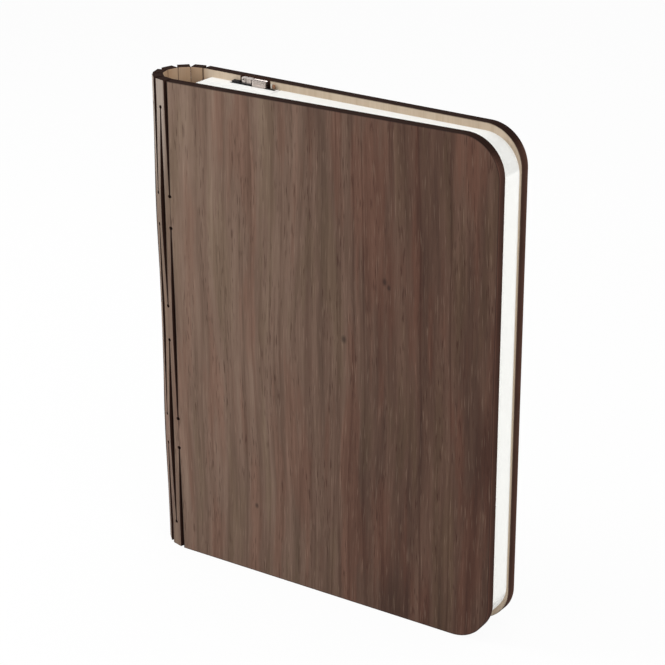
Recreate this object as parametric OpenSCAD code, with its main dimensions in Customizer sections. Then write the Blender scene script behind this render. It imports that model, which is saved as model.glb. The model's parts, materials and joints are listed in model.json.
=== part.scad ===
// Folding book lamp: two wooden covers joined by a lattice-cut wooden spine
// that bends like a living hinge, a fan of folded paper pages between them,
// and a slim light housing on the inside of the back cover.
// Stands upright on its lower edges, spine at -X, front cover at -Y.

/* [Covers] */
// Height of the covers and the spine
cover_h = 215; // [150:1:260]
// Width of a cover, from its fold line to the fore-edge
cover_w = 155; // [120:1:200]
// Thickness of the finished board, with its inner lining
board_t = 4.5; // [3.6:0.1:6]
// Thickness of the pale lining on the inside of a cover
lining_t = 0.5; // [0.3:0.1:1]
// Radius of the two outer corners of a cover
corner_r = 16.5; // [5:0.5:40]
// Angle by which each cover leans toward the other when closed
splay = 1.4; // [0.6:0.1:2.5]
// Gap between the fore-edges of the covers when folded back to back
back_gap = 1.9; // [0.5:0.1:6]

/* [Lattice spine] */
// Radius of the bend, to the middle of the board
bend_r = 12.4; // [10:0.1:20]
// Clearance between the edges of two strips at full fold
edge_play = 0.05; // [0.02:0.01:0.2]
// Height of the two bridges of a fold line above and below mid-height
bridge_rise = 51; // [40:0.5:60]
// Length of each of those bridges
bridge_len = 12.5; // [6:0.1:20]
// Running clearance round a bridge where it turns
bridge_play = 0.06; // [0.03:0.01:0.1]
// Length of the bridge at the top and bottom end of a strip
end_bridge = 10.9; // [6:0.1:20]
// Length of the bridge at the middle of a strip
mid_bridge = 14.2; // [6:0.1:24]
// Width of the laser cut
kerf = 0.4; // [0.2:0.05:0.6]
// Diameter of the relief hole at each end of a cut
relief_d = 1.5; // [0.8:0.1:1.6]
// Width of a strip's slot at the middle of its length, where it bows open
bow_w = 1.3; // [0.6:0.1:1.8]

/* [Pages] */
// Distance that the pages sit in from the top and bottom of the covers
page_inset = 3.15; // [1:0.05:8]
// Distance that the folds sit in from the fore-edge
fore_inset = 1; // [0.5:0.1:6]
// Distance from the fold line of a cover to the inner end of the pages
spine_inset = 5; // [4.5:0.1:12]
// Thickness of one leaf of the folded sheet
leaf_t = 0.25; // [0.15:0.01:0.3]
// Clearance between two pages
page_play = 0.1; // [0.05:0.01:0.15]
// Depth of the closed crease at the fore-edge
crease_d = 1.5; // [0.8:0.1:4]

/* [Light housing] */
// Number of pages that end before the housing
short_pages = 6; // [5:1:8]
// Width of the housing
housing_w = 35; // [33:1:45]
// Wall of the housing
housing_wall = 1; // [0.8:0.1:1.5]
// Thickness of the diffuser
diffuser_t = 0.8; // [0.6:0.1:1.2]
// Clearance between the housing and its inner pieces
housing_play = 0.1; // [0.05:0.01:0.2]
// Width of the battery pouch
battery_w = 20; // [16:1:24]
// Height of the battery pouch
battery_h = 92; // [60:1:110]
// Number of light-emitting diodes
led_count = 12; // [6:1:20]
// Height of the metal face of one diode
led_h = 3.5; // [2:0.1:4]

/* [Charging socket] */
// Width of the control board
board_w = 22; // [21:1:26]
// Height of the control board
board_h = 22; // [18:1:30]
// Width of the socket's metal shell
socket_w = 7.5; // [7:0.1:9]
// Depth of the socket's metal shell, front to back
socket_d = 2.6; // [2.4:0.1:3.2]
// Height of the socket's metal shell
socket_h = 5.6; // [5:0.1:8]
// Wall of the socket's metal shell
socket_wall = 0.3; // [0.2:0.05:0.4]
// Distance of the socket's mouth below the top of the covers
mouth_drop = 0.4; // [0.2:0.1:3]

/* [Magnets] */
// Diameter of the cover magnets
magnet_d = 8; // [5:0.5:10]
// Thickness of the cover magnets
magnet_t = 2; // [1:0.1:2.2]
// Distance of the magnets from the fore-edge
magnet_inset = 9; // [8:0.5:20]
// Distance of the magnets from the top and bottom
magnet_rise = 32; // [26:1:60]
// Clearance round a magnet in its pocket
magnet_play = 0.05; // [0.02:0.01:0.15]

/* [Hidden] */
$fn = 64;
strip_count = 6;
page_count = 18;
function page_name(k) = str("page_", k < 10 ? "0" : "", k);
eps = 0.01;
cut = 1;
bow_steps = 10;

// Spine: the fold lines stand on one circle, a half fold at each cover
half_t = board_t / 2;
fold = (180 + 2 * splay) / strip_count;
pitch = 2 * bend_r * sin(fold / 2);
// Angle by which each cover leans when folded back to back
spine_reach = bend_r - half_t;
fold_back = atan(spine_reach / cover_w) - asin(back_gap / 2 / norm([spine_reach, cover_w]));
back_fold = (180 + 2 * fold_back) / strip_count;
max_fold = max(fold, back_fold);
slot_w = board_t * tan(max_fold / 2) + 2 * edge_play;
// A pocket's lips stop where the strip beside them comes at full fold
lip_angle = 90 - max_fold - 0.3;
pocket_r = half_t + bridge_play;
// The lining stops clear of the bridge
lining_start = half_t + 0.6;

// Frame: the origin is under the middle of the closed lamp's outline
tip_reach = bend_r + half_t;
fore_reach = (bend_r + half_t) * sin(splay) + cover_w * cos(splay);
bend_x = (tip_reach - fore_reach) / 2;

// Inner face of a cover, as a line in plan: half the gap at a given x
fold_x = bend_x + bend_r * sin(splay);
face_y = (bend_r * cos(splay) - half_t * cos(splay))
    - half_t * sin(splay) * tan(splay);
function half_gap(x) = face_y - (x - fold_x) * tan(splay);

// Pages: wedges of one fan, with a leaf glued to each cover outside them
leaf_gap = (leaf_t + page_play) / cos(splay);
function stack(x) = half_gap(x) - leaf_gap;
function fan(k, x) = stack(x) * (1 - 2 * k / page_count);
page_x = fold_x + spine_inset;
fore_x = bend_x + fore_reach - fore_inset;
page_r = corner_r - fore_inset;
page_top = cover_h - page_inset;
slit_end = 0.06;

// Light housing, measured from the fold line, the inner face and the floor
housing_u = spine_inset;
short_gap = 1;
short_u = housing_u + housing_w + short_gap;
short_x = fold_x + short_u * cos(splay);
page_clear = page_play + 0.15;
module_t = half_gap(short_x) - fan(short_pages, short_x) - page_clear;
housing_h = page_top - page_inset;
led_board_t = 0.8;
led_board_v = module_t - housing_wall - diffuser_t - 2 * housing_play;
led_d = 0.7;
led_throw = 2.2;
diffuser_u = housing_u + housing_w - diffuser_t;
led_board_u = diffuser_u - led_throw - led_board_t;
pad_t = 0.3;
pad_inset = 4;
battery_t = led_board_v - pad_t;
battery_u = housing_u + housing_wall + 2;
battery_z = (cover_h - battery_h) / 2 - 8;
seal_h = 4;
seal_t = 0.8;
seal_v = housing_wall + pad_t + 1;

// Control board at the top: its parts stand on the face toward the cover, in
// a recess, and the socket passes through the board
pcb_t = 0.8;
pcb_v = housing_wall + housing_play;
pcb_u = diffuser_u - 2 * housing_play - board_w;
pcb_top = cover_h - mouth_drop - 1.8;
pcb_z = pcb_top - board_h;
part_v = pcb_v + pcb_t;
socket_u = pcb_u + board_w - socket_w - 4.5;
socket_v = pcb_v + pcb_t + 0.2 - socket_d;
shelf_v = socket_v + socket_d + housing_play;
socket_z = cover_h - mouth_drop - socket_h;
tongue_w = socket_w - 3.4;
tongue_d = 0.6;
tongue_drop = 1;
socket_floor = 1;
sensor_size = [5.2, 2.4, 4.4];
sensor_u = socket_u - sensor_size[0] - 0.5;
sensor_z = cover_h - mouth_drop - sensor_size[2];
charge_size = [2, 0.7, 1.8];
charge_u = pcb_u + board_w - charge_size[0] - 0.4;
charge_z = pcb_top + 1.2 - charge_size[2];
led_board_z = page_inset + housing_wall + 5;
led_board_h = pcb_z - 2 - led_board_z;
recess_d = 2;
recess_h = 8;
board_gap = 1;
wire_d = 0.9;
wire_bend_d = 1.2 * wire_d;
screw_head_d = 3.2;
screw_head_t = 0.8;
screw_d = 1.6;
screw_l = 3;
screw_play = 0.05;
screw_u = [housing_u + 3.2, housing_u + housing_w - 6.5];
screw_z = [battery_z - 14, pcb_z - 14];

// Colours
walnut = "#6b4f3a";
pale_wood = "#c8ab84";
paper = "#f6f5f0";
shell_white = "#eeeeea";
metal = "#c9c9c6";

// Places a piece that is drawn from the back cover's fold line: x runs along
// the cover, y outward from the middle of the board
module at_back() {
    translate([bend_x + bend_r * sin(splay), bend_r * cos(splay), 0])
        rotate([0, 0, -splay]) children();
}

module at_front() {
    mirror([0, 1, 0]) at_back() children();
}

// Places a piece on the inside of the back cover: u along the cover, v in
// from its inner face, z up. Takes a block's corner and its size.
module inner_block(at, size) {
    translate([at[0], -half_t - at[1] - size[1], at[2]]) cube(size);
}

// A cylinder that points in from the inner face, from v = 0
module inner_rod(at, d, l) {
    translate([at[0], -half_t - at[1], at[2]]) rotate([90, 0, 0]) cylinder(d = d, h = l);
}

// Outline of a cover or a page, seen square on: square at the spine, round
// at the fore-edge
module panel_outline(u0, u1, z0, z1, r) {
    translate([u0, z0]) square([u1 - u0 - r, z1 - z0]);
    translate([u0, z0 + r]) square([u1 - u0, z1 - z0 - 2 * r]);
    for (z = [z0 + r, z1 - r]) translate([u1 - r, z]) circle(r = r, $fn = 96);
}

// A sheet with that outline, between two depths y0 and y1
module panel(y0, y1, u0, u1, z0, z1, r) {
    translate([0, y1, 0]) rotate([90, 0, 0]) linear_extrude(height = y1 - y0)
        panel_outline(u0, u1, z0, z1, r);
}

// Heights of the middles of a fold line's two bridges
function bridge_z() = [cover_h / 2 - bridge_rise, cover_h / 2 + bridge_rise];

// Where a fold line is cut through, as pairs of heights
function fold_slots() = [
    [-cut, bridge_z()[0] - bridge_len / 2],
    [bridge_z()[0] + bridge_len / 2, bridge_z()[1] - bridge_len / 2],
    [bridge_z()[1] + bridge_len / 2, cover_h + cut]
];

// Cuts the slots of a fold line out of a board that carries its round
// bridges. The fold line is at x = 0 and the board's own side is +x.
module slot_cuts() {
    r = slot_w / 2;
    for (s = fold_slots()) {
        low = s[0] < 0 ? s[0] : s[0] + r;
        high = s[1] > cover_h ? s[1] : s[1] - r;
        translate([-half_t - cut, -half_t - cut, low])
            cube([half_t + cut + r, board_t + 2 * cut, high - low]);
        for (z = [low, high])
            translate([0, half_t + cut, z]) rotate([90, 0, 0])
                cylinder(r = r, h = board_t + 2 * cut);
    }
}

// Rounded edge that the bridges of a fold line are cut from
module bridge_edge(reach) {
    cylinder(d = board_t, h = cover_h);
    translate([0, -half_t, 0]) cube([reach, board_t, cover_h]);
}

// Hollow that turns round a bridge, cut into the board beside it
module bridge_pockets() {
    h = bridge_len + slot_w + 2 * bridge_play;
    reach = 2 * half_t / cos(lip_angle);
    far = reach * sin(lip_angle);
    near = reach * cos(lip_angle);
    for (z = bridge_z()) translate([0, 0, z - h / 2]) {
        cylinder(r = pocket_r, h = h);
        linear_extrude(height = h)
            polygon([[0, 0], [near, far], [-cut, far], [-cut, -far], [near, -far]]);
    }
}

// A slot up the middle of a strip: a fine cut between two relief holes that
// has bowed open. It runs from z0 to z1 and goes through along x.
module strip_slot(z0, z1) {
    low = z0 + relief_d / 2;
    l = z1 - z0 - relief_d;
    deep = board_t + 2 * cut;
    half = [for (n = [0 : bow_steps])
        [low + l * n / bow_steps, (kerf + (bow_w - kerf) * sin(180 * n / bow_steps)) / 2]];
    left = [for (p = half) [p[1], p[0]]];
    right = [for (n = [bow_steps : -1 : 0]) [-half[n][1], half[n][0]]];
    translate([-deep / 2, 0, 0]) rotate([90, 0, 90]) linear_extrude(height = deep)
        polygon(concat(left, right));
    for (z = [low, low + l])
        translate([-deep / 2, 0, z]) rotate([0, 90, 0]) cylinder(d = relief_d, h = deep);
}

// One strip of the spine, numbered from the back cover
module hinge_strip(i) {
    turn = 90 - splay + (i - 0.5) * fold;
    color(walnut)
    translate([bend_x, 0, 0]) rotate([0, 0, turn])
        translate([bend_r * cos(fold / 2), 0, 0]) difference() {
            translate([0, -pitch / 2, 0]) rotate([0, 0, 90]) difference() {
                bridge_edge(pitch - slot_w / 2);
                slot_cuts();
            }
            translate([0, pitch / 2, 0]) rotate([0, 0, -90]) bridge_pockets();
            strip_slot(end_bridge, (cover_h - mid_bridge) / 2);
            strip_slot((cover_h + mid_bridge) / 2, cover_h - end_bridge);
        }
}

// Wood of a cover, up to where its lining lies
module cover_board(edge) {
    panel(lining_t - half_t, half_t, edge, cover_w, 0, cover_h, corner_r);
    translate([edge, -half_t, 0]) cube([lining_start - edge, board_t, cover_h]);
}

// Places of the magnets, measured from the fold line and the floor
module at_magnets() {
    for (z = [magnet_rise, cover_h - magnet_rise])
        translate([cover_w - magnet_inset, lining_t - half_t, z]) rotate([-90, 0, 0])
            children();
}

module magnet_pockets() {
    at_magnets() translate([0, 0, -eps])
        cylinder(d = magnet_d + 2 * magnet_play, h = magnet_t + magnet_play + eps);
}

module front_cover() {
    color(walnut) at_front() difference() {
        union() {
            cover_board(slot_w / 2);
            bridge_edge(lining_start);
        }
        slot_cuts();
        magnet_pockets();
    }
}

// Cut at the top between two places along the cover, from depth v0
module top_cut(u0, u1, v0, depth) {
    inner_block([u0, v0, cover_h - recess_h], [u1 - u0, depth, recess_h + cut]);
}

// Recess in the back cover for the socket and the sensor
module socket_recess() {
    top_cut(sensor_u - board_gap, socket_u + socket_w + board_gap, -recess_d, recess_d + cut);
}

module screw_places() {
    for (u = screw_u) for (z = screw_z) translate([u, 0, z]) children();
}

module back_cover() {
    color(walnut) at_back() difference() {
        cover_board(slot_w / 2);
        bridge_pockets();
        magnet_pockets();
        socket_recess();
        screw_places() inner_rod([0, -screw_l, 0], screw_d + 2 * screw_play, screw_l + cut);
    }
}

module lining() {
    panel(-half_t, lining_t - half_t, lining_start, cover_w, 0, cover_h, corner_r);
}

module front_lining() {
    color(pale_wood) at_front() lining();
}

module back_lining() {
    color(pale_wood) at_back() difference() {
        lining();
        socket_recess();
        screw_places() inner_rod([0, -lining_t - cut, 0], screw_d + 2 * screw_play,
            lining_t + 2 * cut);
    }
}

// Glued leaf at each end of the folded sheet
module end_leaf(u0) {
    panel(-half_t - leaf_t, -half_t, u0, cover_w - fore_inset, page_inset, page_top, page_r);
}

module front_end_leaf() {
    color(paper) at_front() end_leaf(spine_inset);
}

module back_end_leaf() {
    color(paper) at_back() end_leaf(short_u);
}

// One page: two leaves joined at the fore-edge crease and open to the spine
module page(k) {
    x0 = k <= short_pages ? short_x : page_x;
    x1 = fore_x;
    half = page_play / 2;
    x2 = x1 - crease_d;
    mid = (fan(k - 1, x2) + fan(k, x2)) / 2;
    color(paper) intersection() {
        difference() {
            linear_extrude(height = cover_h) polygon([
                [x0, fan(k - 1, x0) - half], [x0, fan(k, x0) + half],
                [x1, fan(k, x1) + half], [x1, fan(k - 1, x1) - half]
            ]);
            translate([0, 0, -cut]) linear_extrude(height = cover_h + 2 * cut) polygon([
                [x0 - eps, fan(k - 1, x0) - half - leaf_t],
                [x0 - eps, fan(k, x0) + half + leaf_t],
                [x2, mid - slit_end / 2], [x2, mid + slit_end / 2]
            ]);
        }
        panel(-bend_r, bend_r, page_x - cut, fore_x, page_inset, page_top, page_r);
    }
}

module front_magnets() {
    color(metal) at_front() at_magnets() cylinder(d = magnet_d, h = magnet_t);
}

module back_magnets() {
    color(metal) at_back() at_magnets() cylinder(d = magnet_d, h = magnet_t);
}

// Tray against the back cover: a floor and three walls. Its top wall stops
// short of the control board, which stands through it.
module light_housing() {
    wall_v = module_t - diffuser_t - housing_play;
    inner_w = housing_w - housing_wall - diffuser_t - housing_play;
    color(shell_white) at_back() difference() {
        inner_block([housing_u, 0, page_inset],
            [housing_w - diffuser_t - housing_play, wall_v, housing_h]);
        inner_block([housing_u + housing_wall, housing_wall, page_inset + housing_wall],
            [inner_w + cut, wall_v, housing_h - 2 * housing_wall]);
        top_cut(pcb_u - board_gap, pcb_u + board_w + board_gap, -cut, shelf_v + cut);
        screw_places() inner_rod([0, -cut, 0], screw_d + 2 * screw_play,
            housing_wall + 2 * cut);
    }
}

// Translucent cover over the tray, with a lip toward the pages
module diffuser() {
    color("#ffffff") at_back() {
        inner_block([housing_u, module_t - diffuser_t, page_inset],
            [housing_w, diffuser_t, housing_h]);
        inner_block([diffuser_u, 0, page_inset], [diffuser_t, module_t, housing_h]);
    }
}

module led_board() {
    color("#f2f2f2") at_back() inner_block(
        [led_board_u, housing_wall + housing_play, led_board_z],
        [led_board_t, led_board_v - housing_play, led_board_h]);
}

module leds() {
    step = led_board_h / led_count;
    width = led_board_v - housing_play - 1;
    color("#f4e7a8") at_back() for (n = [0 : led_count - 1])
        inner_block(
            [led_board_u + led_board_t, housing_wall + housing_play + 0.5,
                led_board_z + (n + 0.5) * step - led_h / 2],
            [led_d, width, led_h]);
}

module battery_pad() {
    color("#e2e2de") at_back() inner_block(
        [battery_u, housing_wall, battery_z + pad_inset],
        [battery_w, pad_t, battery_h - 2 * pad_inset]);
}

// Pouch cell with its folded top seal
module battery() {
    color("#b9bcc0") at_back() {
        inner_block([battery_u, housing_wall + pad_t, battery_z],
            [battery_w, battery_t - housing_play, battery_h]);
        inner_block([battery_u + 1, seal_v, battery_z + battery_h - eps],
            [battery_w - 2, seal_t, seal_h]);
    }
}

// A wire with round bends through a list of [u, v, z] points
module wire(points) {
    for (n = [0 : len(points) - 2]) {
        a = points[n];
        b = points[n + 1];
        d = [b[0] - a[0], a[1] - b[1], b[2] - a[2]];
        translate([a[0], -half_t - a[1], a[2]]) {
            if (n > 0) sphere(d = wire_bend_d, $fn = 16);
            rotate([0, acos(d[2] / norm(d)), atan2(d[1], d[0])])
                cylinder(d = wire_d, h = norm(d), $fn = 16);
        }
    }
}

// Two leads from the cell's seal up to the face of the control board
module battery_wires() {
    v0 = seal_v + seal_t + wire_bend_d / 2 + eps;
    v1 = part_v + wire_bend_d / 2 + eps;
    z0 = battery_z + battery_h + 1;
    color("#a02a22") at_back() for (n = [0, 1]) {
        u0 = battery_u + 6 + n * 5;
        u1 = pcb_u + 3 + n * 3;
        wire([[u0, v0, z0], [u0, v0, z0 + seal_h + 3],
            [u1, v1, pcb_z - 8], [u1, v1, pcb_z + 3]]);
    }
}

// Two leads from the control board down to the back of the strip of diodes
module led_wires() {
    v = part_v + wire_bend_d / 2 + eps;
    color("#26262a") at_back() for (n = [0, 1]) {
        u0 = pcb_u + board_w - 5 - n * 3;
        u1 = led_board_u - wire_bend_d / 2 - eps;
        z1 = pcb_z - 7 - n * 6;
        wire([[u0, v, pcb_z + 3], [u0, v, z1 + 4], [u1, v, z1], [u1, v, z1 - 4]]);
    }
}

// Board with a cut-out that holds the socket
module control_board() {
    color("#1b1b1d") at_back() difference() {
        inner_block([pcb_u, pcb_v, pcb_z], [board_w, pcb_t, board_h]);
        inner_block([socket_u - housing_play, pcb_v - cut, socket_z - housing_play],
            [socket_w + 2 * housing_play, pcb_t + 2 * cut, socket_h]);
    }
}

// Socket shell with its tongue, mouth up
module usb_socket() {
    color(metal) at_back() {
        difference() {
            inner_block([socket_u, socket_v, socket_z], [socket_w, socket_d, socket_h]);
            inner_block([socket_u + socket_wall, socket_v + socket_wall, socket_z + socket_floor],
                [socket_w - 2 * socket_wall, socket_d - 2 * socket_wall, socket_h]);
        }
        inner_block([socket_u + (socket_w - tongue_w) / 2,
                socket_v + (socket_d - tongue_d) / 2, socket_z + socket_floor - eps],
            [tongue_w, tongue_d, socket_h - socket_floor - tongue_drop]);
    }
}

// Metal can of the sensor that switches the light on when the covers open
module open_sensor() {
    color(metal) at_back() inner_block(
        [sensor_u, pcb_v - sensor_size[1], sensor_z], sensor_size);
}

module charge_light() {
    color("#b5532a") at_back() inner_block(
        [charge_u, pcb_v - charge_size[1], charge_z], charge_size);
}

module housing_screws() {
    color("#8e9094") at_back() screw_places() {
        inner_rod([0, -screw_l + 0.1, 0], screw_d, screw_l + housing_wall - 0.1 + eps);
        inner_rod([0, housing_wall, 0], screw_head_d, screw_head_t);
    }
}

front_cover();
back_cover();
front_lining();
back_lining();
for (i = [1 : strip_count])
    hinge_strip(i);
for (k = [1 : page_count])
    page(k);
front_end_leaf();
back_end_leaf();
front_magnets();
back_magnets();
light_housing();
diffuser();
led_board();
leds();
battery();
battery_pad();
battery_wires();
led_wires();
control_board();
usb_socket();
open_sensor();
charge_light();
housing_screws();
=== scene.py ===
import json
import math

import bmesh
import bpy
from mathutils import Matrix, Vector
from numpy import interp


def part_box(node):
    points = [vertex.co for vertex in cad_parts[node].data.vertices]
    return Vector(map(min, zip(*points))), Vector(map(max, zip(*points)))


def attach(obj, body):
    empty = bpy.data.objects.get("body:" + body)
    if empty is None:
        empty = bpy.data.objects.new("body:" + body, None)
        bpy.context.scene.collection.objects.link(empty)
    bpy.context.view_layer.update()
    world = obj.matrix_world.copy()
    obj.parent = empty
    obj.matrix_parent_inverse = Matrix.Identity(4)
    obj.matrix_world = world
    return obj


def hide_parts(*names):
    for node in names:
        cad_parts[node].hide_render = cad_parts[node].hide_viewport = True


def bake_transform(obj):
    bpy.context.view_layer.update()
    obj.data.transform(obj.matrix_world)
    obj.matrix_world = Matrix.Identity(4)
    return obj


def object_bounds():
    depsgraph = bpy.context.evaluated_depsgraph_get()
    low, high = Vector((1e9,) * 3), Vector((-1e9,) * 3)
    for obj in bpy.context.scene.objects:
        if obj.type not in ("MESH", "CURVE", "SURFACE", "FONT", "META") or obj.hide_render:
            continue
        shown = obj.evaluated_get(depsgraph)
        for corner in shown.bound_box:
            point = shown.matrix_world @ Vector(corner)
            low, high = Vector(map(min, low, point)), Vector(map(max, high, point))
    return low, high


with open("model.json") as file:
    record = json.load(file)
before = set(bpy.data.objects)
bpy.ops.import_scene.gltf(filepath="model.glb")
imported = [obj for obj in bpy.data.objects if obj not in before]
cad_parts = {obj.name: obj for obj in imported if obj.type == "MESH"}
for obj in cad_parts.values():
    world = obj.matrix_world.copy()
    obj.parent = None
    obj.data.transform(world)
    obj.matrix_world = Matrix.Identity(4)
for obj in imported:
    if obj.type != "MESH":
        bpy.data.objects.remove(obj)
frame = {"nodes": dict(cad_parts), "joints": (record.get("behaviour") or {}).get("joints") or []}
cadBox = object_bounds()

# Sizes are written in millimetres and turned into metres by this factor
mm = 0.001
print("frame loaded:", len(frame["nodes"]), "nodes")

# Places that come from the frame: the fold lines of the spine and the height
jointPlaces = {j["name"]: Vector(j["pos_m"]).xy for j in frame["joints"]}
folds = [jointPlaces["page_fold_01"]] + [jointPlaces[f"spine_fold_{i}"] for i in range(2, 8)]
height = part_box("front_cover")[1].z
reach = folds[0].x - folds[3].x
bendRadius = (reach ** 2 + folds[0].y ** 2) / (2 * reach)
bendCentre = Vector((folds[3].x + bendRadius, 0))
pitch = (folds[1] - folds[0]).length


# Shader tools: a socket that takes part in Python expressions
class Value:
    def __init__(self, shader, socket):
        self.shader, self.socket = shader, socket

    def combine(self, operation, first, second):
        return self.shader.add("ShaderNodeMath", {"operation": operation}, {0: first, 1: second})

    def __add__(self, other):
        return self.combine("ADD", self, other)

    def __radd__(self, other):
        return self.combine("ADD", other, self)

    def __sub__(self, other):
        return self.combine("SUBTRACT", self, other)

    def __rsub__(self, other):
        return self.combine("SUBTRACT", other, self)

    def __mul__(self, other):
        return self.combine("MULTIPLY", self, other)

    def __rmul__(self, other):
        return self.combine("MULTIPLY", other, self)

    def __pow__(self, other):
        return self.combine("POWER", self, other)


# Nodes of one material or of the world
class Shader:
    def __init__(self, owner):
        self.owner = owner
        owner.use_nodes = True
        self.tree = owner.node_tree
        self.tree.nodes.clear()

    def add(self, kind, settings, sockets, output=0):
        node = self.tree.nodes.new(kind)
        for key, value in settings.items():
            if key == "stops":
                elements = node.color_ramp.elements
                while len(elements) < len(value):
                    elements.new(1)
                for element, (place, colour) in zip(elements, value):
                    element.position, element.color = place, (*colour, 1)
            else:
                setattr(node, key, value)
        for key, value in sockets.items():
            if isinstance(value, Value):
                self.tree.links.new(value.socket, node.inputs[key])
            else:
                node.inputs[key].default_value = value
        return Value(self, node.outputs[output]) if node.outputs else None

    # sockets 6 and 7 of a Mix node are its two colours, output 2 their mixture
    def mix(self, factor, first, second, blend="MIX"):
        sockets = {0: factor, 6: rgba(first), 7: rgba(second)}
        return self.add("ShaderNodeMix", {"data_type": "RGBA", "blend_type": blend}, sockets, 2)

    def multiply(self, factor, first, second):
        return self.mix(factor, first, second, "MULTIPLY")

    def vector(self, operation, first, second, output="Vector"):
        return self.add("ShaderNodeVectorMath", {"operation": operation}, {0: first, 1: second}, output)

    def stretch(self, vector, scale, shift=(0, 0, 0)):
        return self.vector("ADD", self.vector("MULTIPLY", vector, scale), shift)

    def noise(self, vector, scale=1.0, detail=2.0, rough=0.5):
        sockets = {"Vector": vector, "Scale": scale, "Detail": detail, "Roughness": rough}
        return self.add("ShaderNodeTexNoise", {}, sockets)

    def steps(self, value, low, high, floor=0.0, top=1.0):
        sockets = {"Value": value, "From Min": low, "From Max": high, "To Min": floor, "To Max": top}
        return self.add("ShaderNodeMapRange", {"interpolation_type": "SMOOTHSTEP"}, sockets)

    def magnitude(self, value):
        return self.add("ShaderNodeMath", {"operation": "ABSOLUTE"}, {0: value})

    def part(self, vector, axis):
        return self.add("ShaderNodeSeparateXYZ", {}, {"Vector": vector}, axis)

    def grainPlace(self):
        return self.add("ShaderNodeUVMap", {"uv_map": "grain"}, {})

    def attribute(self, name):
        return self.add("ShaderNodeAttribute", {"attribute_name": name}, {}, "Fac")

    def finish(self, colour, rough, relief, bump, specular=0.5, metal=0.0):
        strength, distance = bump
        normal = self.add("ShaderNodeBump", {}, {"Height": relief, "Strength": strength, "Distance": distance})
        sockets = {"Base Color": colour, "Roughness": rough, "Metallic": metal, "Normal": normal,
                   "Specular IOR Level": specular}
        shade = self.add("ShaderNodeBsdfPrincipled", {}, sockets)
        self.add("ShaderNodeOutputMaterial", {}, {"Surface": shade})
        return self.owner


def newFinish(name):
    return Shader(bpy.data.materials.new(name))


def rgba(value):
    return (*value, 1) if isinstance(value, tuple) and len(value) == 3 else value


# A colour as it is seen, from 0 to 255, turned into light
def seen(red, green, blue):
    return tuple(((c / 255 + 0.055) / 1.055) ** 2.4 if c > 10 else c / 255 / 12.92 for c in (red, green, blue))


# Distances along the board are measured from the middle of the spine
veneer = {
    "spineTones": [(0.3, seen(95, 75, 62)), (0.5, seen(118, 96, 82)), (0.7, seen(138, 116, 101))],
    "foreTones": [(0.3, seen(59, 40, 32)), (0.5, seen(82, 59, 48)), (0.7, seen(102, 77, 64))],
    "toneSpan": (28 * mm, 146 * mm),
    "toneDrift": 40 * mm,
    "lowerTone": 0.2,  # near the spine, how much further away the lower end reads
    "lowerSpan": (30 * mm, 84 * mm),
    "wander": (14, 7, 1),
    "wanderShift": 9 * mm,
    # noise layers: scale across and along the grain, shift, detail
    "layers": {
        "broad": (80, 7, (0, 0), 2.0),
        "stripe": (280, 12, (3, 7), 2.0),
        "thread": (850, 30, (8, 9), 2.0),
        "fibre": (2500, 80, (11, 2), 2.0),
        "hue": (95, 9, (20, 3), 3.0),
        "rings": (110, 2.2, (2, 17), 1.0),
        "dashes": (1800, 120, (5, 1), 1.0),
        "dashPatches": (230, 14, (1, 5), 2.0),
        "paleFibres": (1900, 80, (15, 6), 1.0),
    },
    "layerRough": 0.55,
    "toneShares": (0.36, 0.32, 0.18, 0.14),  # of the first four layers
    "contrast": 1.3,
    # tints: colour, noise span, and share at the spine with what the fore-edge adds to it
    "red": {"colour": (1.06, 0.86, 0.82), "span": (0.5, 0.62), "share": (0.42, 0.35)},
    "olive": {"colour": (0.9, 0.97, 0.86), "span": (0.36, 0.5), "share": (0.42, 0.3)},
    "ring": {"colour": (0.6, 0.52, 0.5), "span": (0.004, 0.045), "share": (0.2, 0.5)},
    "pore": {"colour": seen(58, 34, 24), "span": (0.57, 0.68), "patches": (0.42, 0.6), "share": (0.5, 0.25)},
    "paleFibre": {"colour": seen(150, 126, 108), "span": (0.6, 0.72), "share": 0.22},
    # painted sheen: the strips are paler toward the top, where light glances off them
    "wearAndPaintedSheen": {"colour": seen(196, 184, 174), "up": (150 * mm, 212 * mm), "along": (17.5 * mm, 19.5 * mm), "share": 0.4},
    "char": seen(30, 20, 17),
    "knots": [
        (104.7 * mm, 120.2 * mm, 1.1 * mm), (124.5 * mm, 148.9 * mm, 1.0 * mm), (126.4 * mm, 146.8 * mm, 0.8 * mm),
        (59.8 * mm, 32.4 * mm, 0.8 * mm), (-88 * mm, 71 * mm, 1.2 * mm), (-131 * mm, 156 * mm, 0.9 * mm),
    ],
    "knotShape": {"stretch": (1, 0.7, 1), "rim": (0.3, 1.6), "share": 0.62},
    "rough": (0.5, 0.14),
    "relief": 0.6,
    "bump": (0.35, 0.2 * mm),
    "specular": 0.15,
}
scorch = {"fade": 1.5, "share": 0.9}


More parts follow.
